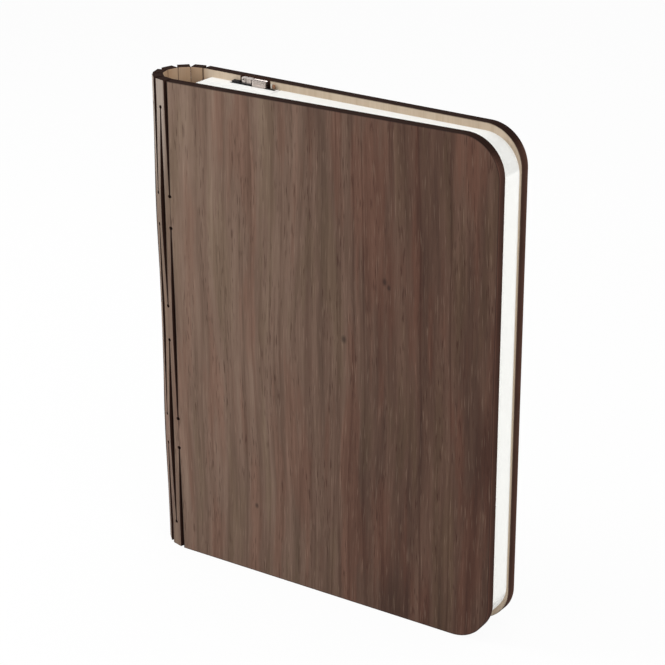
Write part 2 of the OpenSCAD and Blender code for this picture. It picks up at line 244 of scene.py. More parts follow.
def walnutVeneer():
    s = newFinish("walnutVeneer")
    place = s.grainPlace()
    wander = s.noise(s.stretch(place, veneer["wander"]), detail=1.0)
    shifted = s.add("ShaderNodeCombineXYZ", {}, {"X": (wander - 0.5) * veneer["wanderShift"]})
    grain = s.vector("ADD", place, shifted)

    def layer(name):
        across, along, shift, detail = veneer["layers"][name]
        return s.noise(s.stretch(grain, (across, along, 1), (*shift, 0)), 1.0, detail, veneer["layerRough"])

    broad, stripe, thread, fibre = (layer(name) for name in ("broad", "stripe", "thread", "fibre"))
    shares = veneer["toneShares"]
    tone = broad * shares[0] + stripe * shares[1] + thread * shares[2] + fibre * shares[3]
    tone = (tone - 0.5) * veneer["contrast"] + 0.5
    across, up = s.part(place, "X"), s.part(place, "Y")
    away = s.magnitude(across + wander * veneer["toneDrift"] - veneer["toneDrift"] / 2)
    away = away + (height - up) * s.steps(away, *veneer["lowerSpan"], veneer["lowerTone"], 0.0)
    # the tones near the spine are paler and greyer and those toward the fore-edge darker: partly the wood's own tone,
    # partly painted sheen near the spine and painted shade toward the fore-edge
    spine = s.add("ShaderNodeValToRGB", {"stops": veneer["spineTones"]}, {"Fac": tone})
    fore = s.add("ShaderNodeValToRGB", {"stops": veneer["foreTones"]}, {"Fac": tone})
    toFore = s.steps(away, *veneer["toneSpan"])
    colour = s.mix(toFore, spine, fore)

    def share(tint):
        atSpine, added = tint["share"]
        return atSpine + toFore * added

    # reddish and olive streaks lie side by side, then the growth lines
    hue = layer("hue")
    red, olive, ring, pore = (veneer[name] for name in ("red", "olive", "ring", "pore"))
    colour = s.multiply(s.steps(hue, *red["span"]) * share(red), colour, red["colour"])
    colour = s.multiply(s.steps(hue, *olive["span"], 1.0, 0.0) * share(olive), colour, olive["colour"])
    rings = s.magnitude(layer("rings") - 0.5)
    colour = s.multiply(s.steps(rings, *ring["span"], 1.0, 0.0) * share(ring), colour, ring["colour"])
    dashes = s.steps(layer("dashes"), *pore["span"]) * s.steps(layer("dashPatches"), *pore["patches"])
    colour = s.mix(dashes * share(pore), colour, pore["colour"])
    pale = veneer["paleFibre"]
    colour = s.mix(s.steps(layer("paleFibres"), *pale["span"]) * pale["share"], colour, pale["colour"])
    knot = veneer["knotShape"]
    for u, z, size in veneer["knots"]:
        apart = s.stretch(s.vector("SUBTRACT", grain, (u, z, 0)), knot["stretch"])
        length = s.vector("LENGTH", apart, (0, 0, 0), "Value")
        inner, outer = (size * rim for rim in knot["rim"])
        colour = s.mix(s.steps(length, inner, outer, knot["share"], 0.0), colour, veneer["char"])
    # painted sheen: a paler veneer tone at the top of the spine's outer strips stands in for a highlight
    wearAndPaintedSheen = veneer["wearAndPaintedSheen"]
    strips = s.steps(s.magnitude(across), *wearAndPaintedSheen["along"], 1.0, 0.0)
    colour = s.mix(s.steps(up, *wearAndPaintedSheen["up"]) * strips * wearAndPaintedSheen["share"], colour, wearAndPaintedSheen["colour"])
    colour = s.mix((s.attribute("char") ** scorch["fade"]) * scorch["share"], colour, veneer["char"])
    smooth, added = veneer["rough"]
    relief = fibre * veneer["relief"] - dashes * veneer["relief"]
    return s.finish(colour, smooth + fibre * added, relief, veneer["bump"], veneer["specular"])


# Laser-cut edge: end grain at the top and bottom is darker than the sides,
# and the spine's narrow cuts are darker than the outline, a painted shade of their depth
soot = {
    "plies": (1600.0, 3.0),
    "fine": (700, 700, 1),
    "burn": {"scale": (45, 45, 1), "shift": (7, 0, 0)},
    "endTones": (seen(26, 15, 12), seen(52, 35, 28)),
    "endPlies": (0.42, 0.6),
    "endShares": (0.4, 0.3),
    "sideTones": (seen(46, 31, 26), seen(92, 64, 54)),
    "sideDepth": (-1 * mm, 2.25 * mm),
    "sideShares": (0.5, 0.5),
    "sidePly": {"colour": seen(40, 26, 22), "span": (0.5, 0.62), "share": 0.45},
    "cut": {"colour": seen(20, 12, 10), "span": (22 * mm, 26 * mm), "share": 0.6},
    "facing": (0.3, 0.8),
    "rough": (0.66, 0.2),
    "bump": (0.35, 0.1 * mm),
    "specular": 0.02,
}


def charredEdge():
    s = newFinish("charredEdge")
    place = s.grainPlace()
    depth = s.attribute("depth")
    plyScale, plySeed = soot["plies"]
    plies = s.noise(s.add("ShaderNodeCombineXYZ", {}, {"X": depth * plyScale, "Y": plySeed}), detail=1.0)
    fine = s.noise(s.stretch(place, soot["fine"]), detail=3.0)
    burn = s.noise(s.stretch(place, soot["burn"]["scale"], soot["burn"]["shift"]))
    facing = s.part(s.add("ShaderNodeTexCoord", {}, {}, "Normal"), "Z")
    plyShare, fineShare = soot["endShares"]
    dark = s.mix(s.steps(plies, *soot["endPlies"]) * plyShare + fine * fineShare, *soot["endTones"])
    depthShare, burnShare = soot["sideShares"]
    side = s.mix(s.steps(depth, *soot["sideDepth"]) * depthShare + burn * burnShare, *soot["sideTones"])
    ply, cut = soot["sidePly"], soot["cut"]
    side = s.mix(s.steps(plies, *ply["span"]) * ply["share"], side, ply["colour"])
    # painted shade: within the spine's narrow cuts the sides turn darker, standing in for shade deep in the cuts
    away = s.magnitude(s.part(place, "X"))
    side = s.mix(s.steps(away, *cut["span"], cut["share"], 0.0), side, cut["colour"])
    colour = s.mix(s.steps(s.magnitude(facing), *soot["facing"]), side, dark)
    smooth, added = soot["rough"]
    return s.finish(colour, smooth + fine * added, fine + plies, soot["bump"], soot["specular"])


paleWood = {
    "tones": [(0.3, seen(184, 165, 143)), (0.7, seen(205, 188, 167))],
    "stripe": {"scale": (240, 6, 1), "shift": (31, 4, 0), "share": 0.65},
    "fibre": {"scale": (1900, 50, 1), "share": 0.35},
    "smokeAndShade": {"scale": (160, 30, 1), "shift": (9, 5, 0), "span": (18 * mm, 24 * mm), "share": (0.3, 0.5),
              "colour": seen(166, 126, 90)},
    "char": seen(52, 36, 28),
    "rough": (0.6, 0.1),
    "bump": (0.2, 0.1 * mm),
    "specular": 0.15,
}


def paleFace():
    s = newFinish("paleFace")
    place = s.grainPlace()
    line, hair, smokeAndShade = (paleWood[name] for name in ("stripe", "fibre", "smokeAndShade"))
    stripe = s.noise(s.stretch(place, line["scale"], line["shift"]), 1.0, 3.0, 0.55)
    fibre = s.noise(s.stretch(place, hair["scale"]))
    tone = stripe * line["share"] + fibre * hair["share"]
    colour = s.add("ShaderNodeValToRGB", {"stops": paleWood["tones"]}, {"Fac": tone})
    # the inside of the spine is browner: partly a stain of the laser's smoke, partly painted shade in the spine's
    # hollow
    away = s.magnitude(s.part(place, "X"))
    even, cloudy = smokeAndShade["share"]
    cloud = even + s.noise(s.stretch(place, smokeAndShade["scale"], smokeAndShade["shift"])) * cloudy
    colour = s.mix(s.steps(away, *smokeAndShade["span"], 1.0, 0.0) * cloud, colour, smokeAndShade["colour"])
    colour = s.mix((s.attribute("char") ** scorch["fade"]) * scorch["share"], colour, paleWood["char"])
    smooth, added = paleWood["rough"]
    return s.finish(colour, smooth + fibre * added, fibre, paleWood["bump"], paleWood["specular"])


whiteSheet = {
    "tones": (seen(244, 244, 241), seen(252, 252, 249)),
    "fibreScale": 900.0,
    "cloudScale": 60.0,
    "shares": (0.5, 0.5),
    "rough": 0.75,
    "bump": (0.12, 0.1 * mm),
    "specular": 0.25,
}


def whitePaper():
    s = newFinish("whitePaper")
    place = s.add("ShaderNodeTexCoord", {}, {}, "Object")
    fibre = s.noise(place, whiteSheet["fibreScale"], 3.0, 0.6)
    cloud = s.noise(place, whiteSheet["cloudScale"])
    fibreShare, cloudShare = whiteSheet["shares"]
    colour = s.mix(fibre * fibreShare + cloud * cloudShare, *whiteSheet["tones"])
    return s.finish(colour, whiteSheet["rough"], fibre, whiteSheet["bump"], whiteSheet["specular"])


woodFinishes = [walnutVeneer(), charredEdge(), paleFace()]
outerFace, cutEdge, innerFace = 0, 1, 2
paperFinish = whitePaper()
print("materials of wood and paper made")


def newObject(name, data):
    made = bpy.data.objects.new(name, data)
    bpy.context.scene.collection.objects.link(made)
    return made


# Meshes: a builder that keeps each point's place in the grain, scorch and depth
class Builder:
    def __init__(self):
        self.points, self.faces, self.kinds = [], [], []
        self.grain, self.char, self.depth, self.weight = [], [], [], []

    def point(self, place, grain=(0, 0), char=0.0, depth=0.0, weight=0.0):
        self.points.append(tuple(place))
        self.grain.append(grain)
        self.char.append(char)
        self.depth.append(depth)
        self.weight.append(weight)
        return len(self.points) - 1

    def face(self, corners, kind=0):
        ring = [c for n, c in enumerate(corners) if c != corners[n - 1]]
        if len(set(ring)) == len(ring) > 2:
            self.faces.append(ring)
            self.kinds.append(kind)

    def piece(self, name, materials):
        mesh = bpy.data.meshes.new(name)
        mesh.from_pydata(self.points, [], self.faces)
        for material in materials:
            mesh.materials.append(material)
        mesh.polygons.foreach_set("material_index", self.kinds)
        layer = mesh.uv_layers.new(name="grain")
        for loop in mesh.loops:
            layer.data[loop.index].uv = self.grain[loop.vertex_index]
        for label, values in (("char", self.char), ("depth", self.depth)):
            mesh.attributes.new(label, "FLOAT", "POINT").data.foreach_set("value", values)
        work = bmesh.new()
        work.from_mesh(mesh)
        bmesh.ops.recalc_face_normals(work, faces=work.faces)
        work.to_mesh(mesh)
        work.free()
        return newObject(name, mesh)


board = {
    "width": 155 * mm,
    "thickness": 4.5 * mm,
    "lining": 0.5 * mm,
    "liningStart": 2.85 * mm,
    "corner": 16.5 * mm,
    "splay": math.radians(1.4),
    "charRim": 0.5 * mm,
    "cornerSteps": 20,
    "pocketPlay": 0.03 * mm,
    "endPlay": 0.06 * mm,
    "arcSteps": 12,
}
half = board["thickness"] / 2


# One cover: u leads from its fold to the fore-edge, v out of the book from the
# middle of the board. The sign is 1 for the back cover and -1 for the front.
class Side:
    def __init__(self, sign, origin):
        lean = board["splay"]
        self.sign, self.origin = sign, origin
        self.along = Vector((math.cos(lean), -sign * math.sin(lean)))
        self.out = Vector((math.sin(lean), sign * math.cos(lean)))

    def at(self, u, v, z):
        p = self.origin + self.along * u + self.out * v
        return Vector((p.x, p.y, z))

    def grain(self, u, z):
        return (-self.sign * (3 * pitch + u), z)


backSide, frontSide = Side(1, folds[0]), Side(-1, folds[6])

# Lattice: where it is cut, how far it twists and how wide its cuts are
lattice = {
    "foldBridges": [(50.25 * mm, 62.75 * mm), (152.25 * mm, 164.75 * mm)],
    "stripSlots": [(10.9 * mm, 100.4 * mm), (114.6 * mm, 204.1 * mm)],
    "holeRadius": 0.75 * mm,
    "holeAngles": (0, 25, 50, 75, 100, 125, 147, 161),
    "cutHalf": 0.2 * mm,
    "foldOpening": 0.475 * mm,
    "stripOpening": 0.44 * mm,
    "levelStep": 3.2 * mm,
    "rim": 0.3 * mm,
    "taper": (0.058 * mm, 0.15 * mm),
    "endTaper": 0.3 * mm,
    "overrun": 10 * mm,
    "holeClearance": 1.5,  # coarse levels keep this many hole radii away from a hole
}
bridges, stripSlots = lattice["foldBridges"], lattice["stripSlots"]
foldSlots = [
    (-lattice["overrun"], bridges[0][0]),
    (bridges[0][1], bridges[1][0]),
    (bridges[1][1], height + lattice["overrun"]),
]
stations = [(0, 0), (height, 0)]
for slot, bridge in zip(stripSlots, bridges):
    stations += [(slot[0], 0), (bridge[0], 1), (bridge[1], 1), (slot[1], 0)]
stations.sort()


def twistShare(z):
    return float(interp(z, [s[0] for s in stations], [s[1] for s in stations]))


def slotHalf(z, slots, width):
    for low, high in slots:
        if low < z < high:
            edge = min(z - low, high - z)
            r = lattice["holeRadius"]
            hole = math.sqrt(r * r - (edge - r) ** 2) if edge < 2 * r else 0
            return max(hole, width if edge > r else 0)
    return 0


def foldCut(z):
    return slotHalf(z, foldSlots, lattice["cutHalf"] + lattice["foldOpening"] * (1 - twistShare(z)))


def stripCut(z):
    return slotHalf(z, stripSlots, lattice["cutHalf"] + lattice["stripOpening"] * twistShare(z))


# A cut narrows toward the inner face, so that no light shows through when closed
def kerfTaper(number, share):
    first, last = lattice["taper"]
    first = lattice["endTaper"] if number in (1, 7) else first
    return first + (last - first) * share


def latticeLevels():
    r = lattice["holeRadius"]
    ends = [e for slot in foldSlots + stripSlots for e in ((slot[0], 1), (slot[1], -1)) if 0 < e[0] < height]
    fine = {e + way * r * (1 - math.cos(math.radians(a))) for e, way in ends for a in lattice["holeAngles"]}
    count = round(height / lattice["levelStep"])
    coarse = {height * n / count for n in range(count + 1)}
    clear = {z for z in coarse if all(abs(z - (e + way * r)) > lattice["holeClearance"] * r for e, way in ends)}
    return sorted(fine | clear)


levels = latticeLevels()
onBridge = [foldCut(z) == 0 for z in levels]


# One fold line of the spine with the bars on both sides of it, as one piece:
# the bars twist between the strips' bridges and the fold's own
def foldPiece(number):
    pivot = folds[number - 1]
    radial = (pivot - bendCentre).normalized()
    build = Builder()
    shared = {}
    for way in (-1, 1):
        other = number - 1 + way
        if not 0 <= other <= 6:
            continue
        into = (folds[other] - pivot).normalized()
        out = Vector((-into.y, into.x))
        out = out if out.dot(radial) > 0 else -out
        tangent = Vector((-radial.y, radial.x))
        tangent = tangent if tangent.dot(into) > 0 else -tangent
        angle = math.atan2(into.x * tangent.y - into.y * tangent.x, into.dot(tangent))
        rows = []
        for n, z in enumerate(levels):
            share = twistShare(z)
            spin = Matrix.Rotation(share * angle, 2)
            along, away = spin @ into, spin @ out
            start, end = foldCut(z), pitch / 2 - stripCut(z)
            weight = share if number == 7 else 0.5 * share if way < 0 else 1 - 0.5 * share
            row = []
            for face in (half, -half):
                first = start - kerfTaper(number, share) if start and face < 0 else start
                columns = [first, start + lattice["rim"], end - lattice["rim"], end]
                chars = [0 if onBridge[n] else 1, 0, 0, 1 if stripCut(z) else 0]
                for c, char in zip(columns, chars):
                    key = (n, face) if c == 0 else None
                    if key in shared:
                        row.append(shared[key])
                        continue
                    p = pivot + along * c + away * face
                    grain = ((number - 4) * pitch + way * c, z)
                    row.append(build.point((p.x, p.y, z), grain, char, face, weight))
                    if key:
                        shared[key] = row[-1]
            rows.append(row)
        arcs = knuckleArcs(build, pivot, radial, into) if number == 1 else {}
        for n in range(len(levels) - 1):
            a, b = rows[n], rows[n + 1]
            for c in range(3):
                build.face([a[c], a[c + 1], b[c + 1], b[c]], outerFace)
                build.face([a[c + 4], a[c + 5], b[c + 5], b[c + 4]], innerFace)
            build.face([a[3], a[7], b[7], b[3]], cutEdge)
            closed = onBridge[n] and onBridge[n + 1]
            if not closed:
                build.face([a[0], a[4], b[4], b[0]], cutEdge)
            elif number in (1, 7):
                low = [a[0]] + arcs.get(n, []) + [a[4]]
                high = [b[0]] + arcs.get(n + 1, []) + [b[4]]
                for k in range(len(low) - 1):
                    build.face([low[k], low[k + 1], high[k + 1], high[k]], cutEdge)
        for n, row in ((0, rows[0]), (len(levels) - 1, rows[-1])):
            build.face([row[0], row[1], row[2], row[3], row[7], row[6], row[5], row[4]], cutEdge)
        for n in arcs:
            if not (onBridge[n - 1] and onBridge[n + 1]):
                build.face([rows[n][0]] + arcs[n] + [rows[n][4]], cutEdge)
    piece = build.piece(f"spineFold{number}", woodFinishes)
    if number == 1:
        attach(piece, "strip_1")
    else:
        a, b = Vector((*folds[number - 2], 0)), Vector((*pivot, 0))
        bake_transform(piece)
    stands = [f"hinge_strip_{n}" for n in (number - 1, number) if 0 < n < 7]
    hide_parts(*stands)


# Rounded ends of the bridges that turn in the back cover's pockets
def knuckleArcs(build, pivot, radial, into):
    arcs = {}
    ahead = Vector((-radial.y, radial.x))
    ahead = ahead if ahead.dot(into) < 0 else -ahead
    for n, z in enumerate(levels):
        if not onBridge[n]:
            continue
        arcs[n] = []
        # the ends of a knuckle stand clear of the pocket's
        inset = (onBridge[n + 1] - onBridge[n - 1]) * board["endPlay"]
        for k in range(1, board["arcSteps"]):
            a = math.pi * k / board["arcSteps"]
            p = pivot + ahead * half * math.sin(a) + radial * half * math.cos(a)
            arcs[n].append(build.point((p.x, p.y, z + inset), (0, z), 1, half * math.cos(a)))
    return arcs


# Spine edge of a cover from the floor up: distance from the fold, height and
# whether it is in a pocket
def spinePath(pocket):
    lip = math.sqrt((half + board["pocketPlay"]) ** 2 - half ** 2)
    path = []
    for n, z in enumerate(levels):
        if not (pocket and onBridge[n]):
            path.append((foldCut(z), z, False))
            continue
        inside = onBridge[n - 1] and onBridge[n + 1]
        entries = [(lip, z, True)]
        if not inside:
            entries.insert(0 if onBridge[n + 1] else 1, (0, z, False))
        path += entries
    return path


def roundEnd(inset):
    r, w = board["corner"], board["width"]
    turns = [math.pi / 2 * k / board["cornerSteps"] for k in range(board["cornerSteps"] + 1)]
    top = [(w - r + (r - inset) * math.sin(a), height - r + (r - inset) * math.cos(a)) for a in turns]
    return top + [(u, height - z) for u, z in reversed(top)]


# Cut in the back cover's inner face, at the top, for the socket and the sensor
recess = {"span": (20.3 * mm, 35.5 * mm), "bottom": 207 * mm, "depth": 2 * mm}


def coverPiece(name, side, body, node, pocket):
    build = Builder()
    path = spinePath(pocket)
    count = len(path)
    start, rim = board["liningStart"], board["charRim"]
    pockets = {z for u, z, inPocket in path if inPocket}
    top = [(start, height)] + ([(u, height) for u in recess["span"]] if pocket else [])
    topRim = [(u, height - rim) for u, _ in top]
    edge = [(u, z) for u, z, _ in path] + top + roundEnd(0) + [(start, 0)]
    ring = [(u + rim, min(max(z, rim), height - rim)) for u, z, _ in path]
    ring += topRim + roundEnd(rim) + [(start, rim)]
    joint = board["lining"] - half

    def row(places, v, char):
        return [build.point(side.at(u, v, z), side.grain(u, z), char, v) for u, z in places]

    outer, outerRing = row(edge, half, 1), row(ring, half, 0)
    for k in range(len(edge)):
        build.face([outer[k - 1], outer[k], outerRing[k], outerRing[k - 1]], outerFace)
    build.face(outerRing, outerFace)
    near = [(u - (kerfTaper(1, twistShare(z)) if foldCut(z) and z not in pockets else 0), z) for u, z in edge[:count]]
    inner = row(near, -half, 1) + row([edge[count], edge[-1]], -half, 0)
    innerRing = row(ring[:count], -half, 0)
    for k in range(1, count):
        build.face([inner[k - 1], inner[k], innerRing[k], innerRing[k - 1]], innerFace)
    build.face([inner[0], innerRing[0], inner[-1]], innerFace)
    build.face([inner[count - 1], innerRing[-1], inner[count]], innerFace)
    build.face(innerRing + [inner[count], inner[-1]], innerFace)
    deepEdge = edge[count:]
    if pocket:
        deepEdge[2:2] = [(u, recess["bottom"]) for u in recess["span"]]
    deep = row(deepEdge, joint, 1)
    build.face(deep, cutEdge)
    build.face([inner[count], deep[0], deep[-1], inner[-1]], cutEdge)
    walls, corners = deep, {}
    if pocket:
        floor = row(deepEdge[1:5], recess["depth"] - half, 1)
        build.face(floor, cutEdge)
        for k in range(1, 4):
            build.face([deep[k], deep[k + 1], floor[k], floor[k - 1]], cutEdge)
        build.face([outer[count + 1], outer[count + 2], floor[3], floor[0]], cutEdge)
        walls = deep[:2] + deep[4:]
        # the walls on both sides of the recess share its floor's corners
        corners = {1: (2, floor[0]), 3: (4, floor[3])}
    for k in range(1, len(walls)):
        wall = [outer[count + k - 1], outer[count + k], walls[k], walls[k - 1]]
        if k in corners:
            wall.insert(*corners[k])
        if not (pocket and k == 2):
            build.face(wall, cutEdge)
    build.face([outer[count - 1], outer[count], deep[0], inner[count], inner[count - 1]], cutEdge)
    build.face([outer[-1], outer[0], inner[0], inner[-1], deep[-1]], cutEdge)
    arcs = pocketArcs(build, side, path)
    for k in range(1, count):
        low = [outer[k - 1]] + arcs.get(k - 1, []) + [inner[k - 1]]
        high = [outer[k]] + arcs.get(k, []) + [inner[k]]
        if k - 1 in arcs and k in arcs:
            for m in range(len(low) - 1):
                build.face([low[m], low[m + 1], high[m + 1], high[m]], cutEdge)
        elif k - 1 in arcs or k in arcs:
            build.face(low + high[::-1], cutEdge)
        else:
            build.face([outer[k - 1], outer[k], inner[k], inner[k - 1]], cutEdge)
    piece = build.piece(name, woodFinishes)
    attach(piece, body)
    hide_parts(node)


def pocketArcs(build, side, path):
    arcs = {}
    r = half + board["pocketPlay"]
    limit = math.acos(half / r)
    for k, (_, z, pocket) in enumerate(path):
        if not pocket:
            continue
        arcs[k] = []
        for m in range(1, board["arcSteps"]):
            a = limit + (math.pi - 2 * limit) * m / board["arcSteps"]
            u, v = r * math.sin(a), r * math.cos(a)
            arcs[k].append(build.point(side.at(u, v, z), side.grain(u, z), 1, v))
    return arcs


# Pale veneer on the inside of a cover
def liningPiece(name, side, body, node, notched):
    build = Builder()
    rim, start = board["charRim"], board["liningStart"]
    edge, ring = [(start, 0), (start, height)], [(start, rim), (start, height - rim)]
    if notched:
        for u, away in zip(recess["span"], (-rim, rim)):
            corners = [(u, height), (u, recess["bottom"])]
            inside = [(u + away, height - rim), (u + away, recess["bottom"] - rim)]
            edge += corners if away < 0 else corners[::-1]
            ring += inside if away < 0 else inside[::-1]
    edge, ring = edge + roundEnd(0), ring + roundEnd(rim)
    back = [build.point(side.at(u, board["lining"] - half, z), side.grain(u, z), 1) for u, z in edge]
    face = [build.point(side.at(u, -half, z), side.grain(u, z), float(u > start)) for u, z in edge]
    inset = [build.point(side.at(u, -half, z), side.grain(u, z), 0) for u, z in ring]
    for k in range(len(edge)):
        build.face([face[k - 1], face[k], inset[k], inset[k - 1]], innerFace)
        build.face([face[k - 1], face[k], back[k], back[k - 1]], cutEdge)
    build.face(inset, innerFace)
    build.face(back, cutEdge)
    piece = build.piece(name, woodFinishes)
    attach(piece, body)
    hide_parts(node)


for foldNumber in range(1, 8):
    foldPiece(foldNumber)
coverPiece("frontCover", frontSide, "front_cover", "front_cover", False)
coverPiece("backCover", backSide, "back_cover", "back_cover", True)
liningPiece("frontLining", frontSide, "front_cover", "front_lining", False)
liningPiece("backLining", backSide, "back_cover", "back_lining", True)
print("covers and spine made")

paper = {
    "thickness": 0.18 * mm,
    "play": 0.1 * mm,
    "leafGap": 0.35 * mm,
    "inset": 3.15 * mm,
    "foreInset": 1 * mm,
    "spineInset": 5 * mm,
    "shortInset": 41 * mm,
    "shortPages": 6,
    "pages": 18,
    "crease": 0.55 * mm,
    "innerCrease": 0.3 * mm,
    "creaseSteps": 4,
    "columns": 14,
    "cornerColumns": 9,
    "endSteps": 12,
}
foreX = cadBox[1].x - paper["foreInset"]
pageX = folds[0].x + paper["spineInset"]
shortX = backSide.at(paper["shortInset"], 0, 0).x
leafRadius = board["corner"] - paper["foreInset"]
leafTop = height - paper["inset"]


# Half the space between the covers' inner faces, less their glued leaves
def stackHalf(x):
    face = backSide.at(0, -half, 0)
    return face.y - (x - face.x) * math.tan(board["splay"]) - paper["leafGap"]


def fanLine(k, x):
    return stackHalf(x) * (1 - 2 * k / paper["pages"])


def leafRise(x):
    reachIn = max(0, x - (foreX - leafRadius))
    return leafRadius - math.sqrt(max(0, leafRadius ** 2 - reachIn ** 2))


def leafLine(page, way, innerX):
    # way is 1 for the leaf toward the back cover
    boundary = page - 1 if way > 0 else page
    offset = (paper["play"] + paper["thickness"]) / 2
    creaseX = foreX - paper["thickness"] / 2 - paper["crease"]
    line = []
    for k in range(paper["creaseSteps"], 0, -1):
        a = math.pi / 2 * k / paper["creaseSteps"]
        y = fanLine(boundary, innerX) - way * offset * math.cos(a)
        line.append((innerX - paper["innerCrease"] * math.sin(a), y))
    bendX = foreX - leafRadius
    for k in range(paper["columns"]):
        x = innerX + (bendX - innerX) * k / paper["columns"]
        line.append((x, fanLine(boundary, x) - way * offset))
    last = math.asin((creaseX - bendX) / leafRadius)
    for k in range(paper["cornerColumns"] + 1):
        x = bendX + leafRadius * math.sin(last * k / paper["cornerColumns"])
        line.append((x, fanLine(boundary, x) - way * offset))
    middle = (fanLine(page - 1, creaseX) + fanLine(page, creaseX)) / 2
    rise = line[-1][1] - middle
    for k in range(1, paper["creaseSteps"] + 1):
        a = math.pi / 2 * k / paper["creaseSteps"]
        line.append((creaseX + paper["crease"] * math.sin(a), middle + rise * math.cos(a)))
    return line


# A leaf from rows of four points: outer and inner face, at the bottom and the top
def sheetPiece(build, rows, name):
    for a, b in zip(rows, rows[1:]):
        for m, n in ((0, 1), (2, 3), (1, 3), (0, 2)):
            build.face([a[m], a[n], b[n], b[m]])
    for row in (rows[0], rows[-1]):
        build.face([row[0], row[1], row[3], row[2]])
    return build.piece(name, [paperFinish])


def leafRows(build, line):
    rows = []
    for n, (x, y) in enumerate(line):
        before, after = line[max(n - 1, 0)], line[min(n + 1, len(line) - 1)]
        tangent = Vector((after[0] - before[0], after[1] - before[1])).normalized()
        normal = Vector((-tangent.y, tangent.x)) * paper["thickness"] / 2
        rise = leafRise(x)
        row = []
        for side in (1, -1):
            for z in (paper["inset"] + rise, leafTop - rise):
                row.append(build.point((x + side * normal.x, y + side * normal.y, z), (x, z)))
        rows.append(row)
    return rows


def leafPiece(page, way):
    short = page < paper["shortPages"] or (page == paper["shortPages"] and way > 0)
    innerX = shortX if short else pageX
    build = Builder()
    rows = leafRows(build, leafLine(page, way, innerX))
    piece = sheetPiece(build, rows, f"page{page:02d}{'Back' if way > 0 else 'Front'}Leaf")
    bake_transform(piece)
    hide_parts(f"page_{page:02d}")


def endLeafPiece(name, side, body, node, startU):
    r, w = leafRadius, board["width"] - paper["foreInset"]
    v = -half - paper["thickness"] / 2
    count = paper["endSteps"]
    stops = [startU, w - r] + [w - r + r * math.sin(math.pi / 2 * k / count) for k in range(1, count + 1)]
    build = Builder()
    rows = []
    for u in stops:
        rise = r - math.sqrt(max(0, r * r - max(0, u - (w - r)) ** 2))
        row = []
        for depth in (v - paper["thickness"] / 2, v + paper["thickness"] / 2):
            for z in (paper["inset"] + rise, leafTop - rise):
                row.append(build.point(side.at(u, depth, z), (u, z)))
        rows.append(row)
    piece = sheetPiece(build, rows, name)
    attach(piece, body)
    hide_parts(node)


for pageNumber in range(1, paper["pages"] + 1):
    leafPiece(pageNumber, 1)
    leafPiece(pageNumber, -1)
endLeafPiece("frontEndLeaf", frontSide, "front_cover", "front_end_leaf", paper["spineInset"])
endLeafPiece("backEndLeaf", backSide, "back_cover", "back_end_leaf", paper["shortInset"])
print("pages made")


# Finishes of the light module: fine grain, and broad patches of wear
plain = {"wornScale": 0.12, "shares": (0.6, 0.4), "roughSpan": 0.2, "bumpDistance": 0.05 * mm}


def plainFinish(name, low, high, scale, rough, metal=0.0, relief=0.1, specular=0.5):
    s = newFinish(name)
    place = s.add("ShaderNodeTexCoord", {}, {}, "Object")
    grain = s.noise(place, scale, 3.0, 0.6)
    wearAndPaintedSheen = s.noise(place, scale * plain["wornScale"])
    grainShare, wornShare = plain["shares"]
    colour = s.mix(grain * grainShare + wearAndPaintedSheen * wornShare, low, high)
    rough = rough + (wearAndPaintedSheen - 0.5) * plain["roughSpan"]
    return s.finish(colour, rough, grain, (relief, plain["bumpDistance"]), specular, metal)


steel = plainFinish("tinnedSteel", seen(170, 158, 152), seen(206, 196, 190), 1600, 0.3, 1.0)
black = plainFinish("blackPlasticAndShade", seen(16, 14, 14), seen(30, 27, 26), 1800, 0.5, specular=0.15)
gold = plainFinish("contactGold", seen(186, 148, 82), seen(214, 180, 112), 2400, 0.3, 1.0)
glass = plainFinish("darkGlass", seen(12, 12, 14), seen(26, 24, 26), 900, 0.12)
amber = plainFinish("amberWindow", seen(116, 80, 56), seen(146, 104, 76), 1500, 0.3, specular=0.3)
ceramic = plainFinish("greyCeramic", seen(176, 170, 160), seen(196, 190, 180), 2400, 0.5)
mask = plainFinish("blackMask", seen(15, 14, 15), seen(27, 26, 28), 1400, 0.45, specular=0.15)
tin = plainFinish("solderTin", seen(168, 168, 170), seen(204, 204, 206), 2600, 0.35, 1.0)

# CAD nodes that stay: finish, and the radius their edges are rounded to
carried = {
    "light_housing": (plainFinish("housingShell", seen(228, 228, 225), seen(238, 238, 235), 1500, 0.45), 0.3 * mm),
    "diffuser": (plainFinish("diffuserShell", seen(238, 238, 236), seen(245, 245, 243), 900, 0.38), 0.3 * mm),
    "led_board": (plainFinish("lightStripMask", seen(232, 233, 232), seen(242, 242, 240), 1200, 0.35), 0.05 * mm),
    "leds": (plainFinish("phosphorWindow", seen(236, 208, 96), seen(246, 224, 128), 1800, 0.3), 0.12 * mm),
    "battery": (plainFinish("cellFoil", seen(158, 162, 166), seen(194, 197, 200), 700, 0.4, 0.7, 0.25), 0.8 * mm),
    "battery_pad": (plainFinish("foamTape", seen(210, 210, 204), seen(226, 226, 220), 2500, 0.9), 0),
    "battery_wires": (plainFinish("redInsulation", seen(146, 26, 20), seen(170, 38, 30), 900, 0.38), 0),
    "led_wires": (plainFinish("blackInsulation", seen(20, 20, 21), seen(34, 34, 36), 900, 0.38), 0),
    "housing_screws": (plainFinish("zincSteel", seen(146, 148, 150), seen(186, 188, 190), 1500, 0.38, 1.0), 0),
    "front_magnets": (plainFinish("nickelPlate", seen(186, 184, 180), seen(212, 210, 206), 900, 0.25, 1.0), 0.2 * mm),
    "back_magnets": (plainFinish("magnetPlate", seen(186, 184, 180), seen(212, 210, 206), 900, 0.25, 1.0), 0.2 * mm),
}
rounding = {"flat": math.radians(1), "sharp": math.radians(40), "segments": 2}
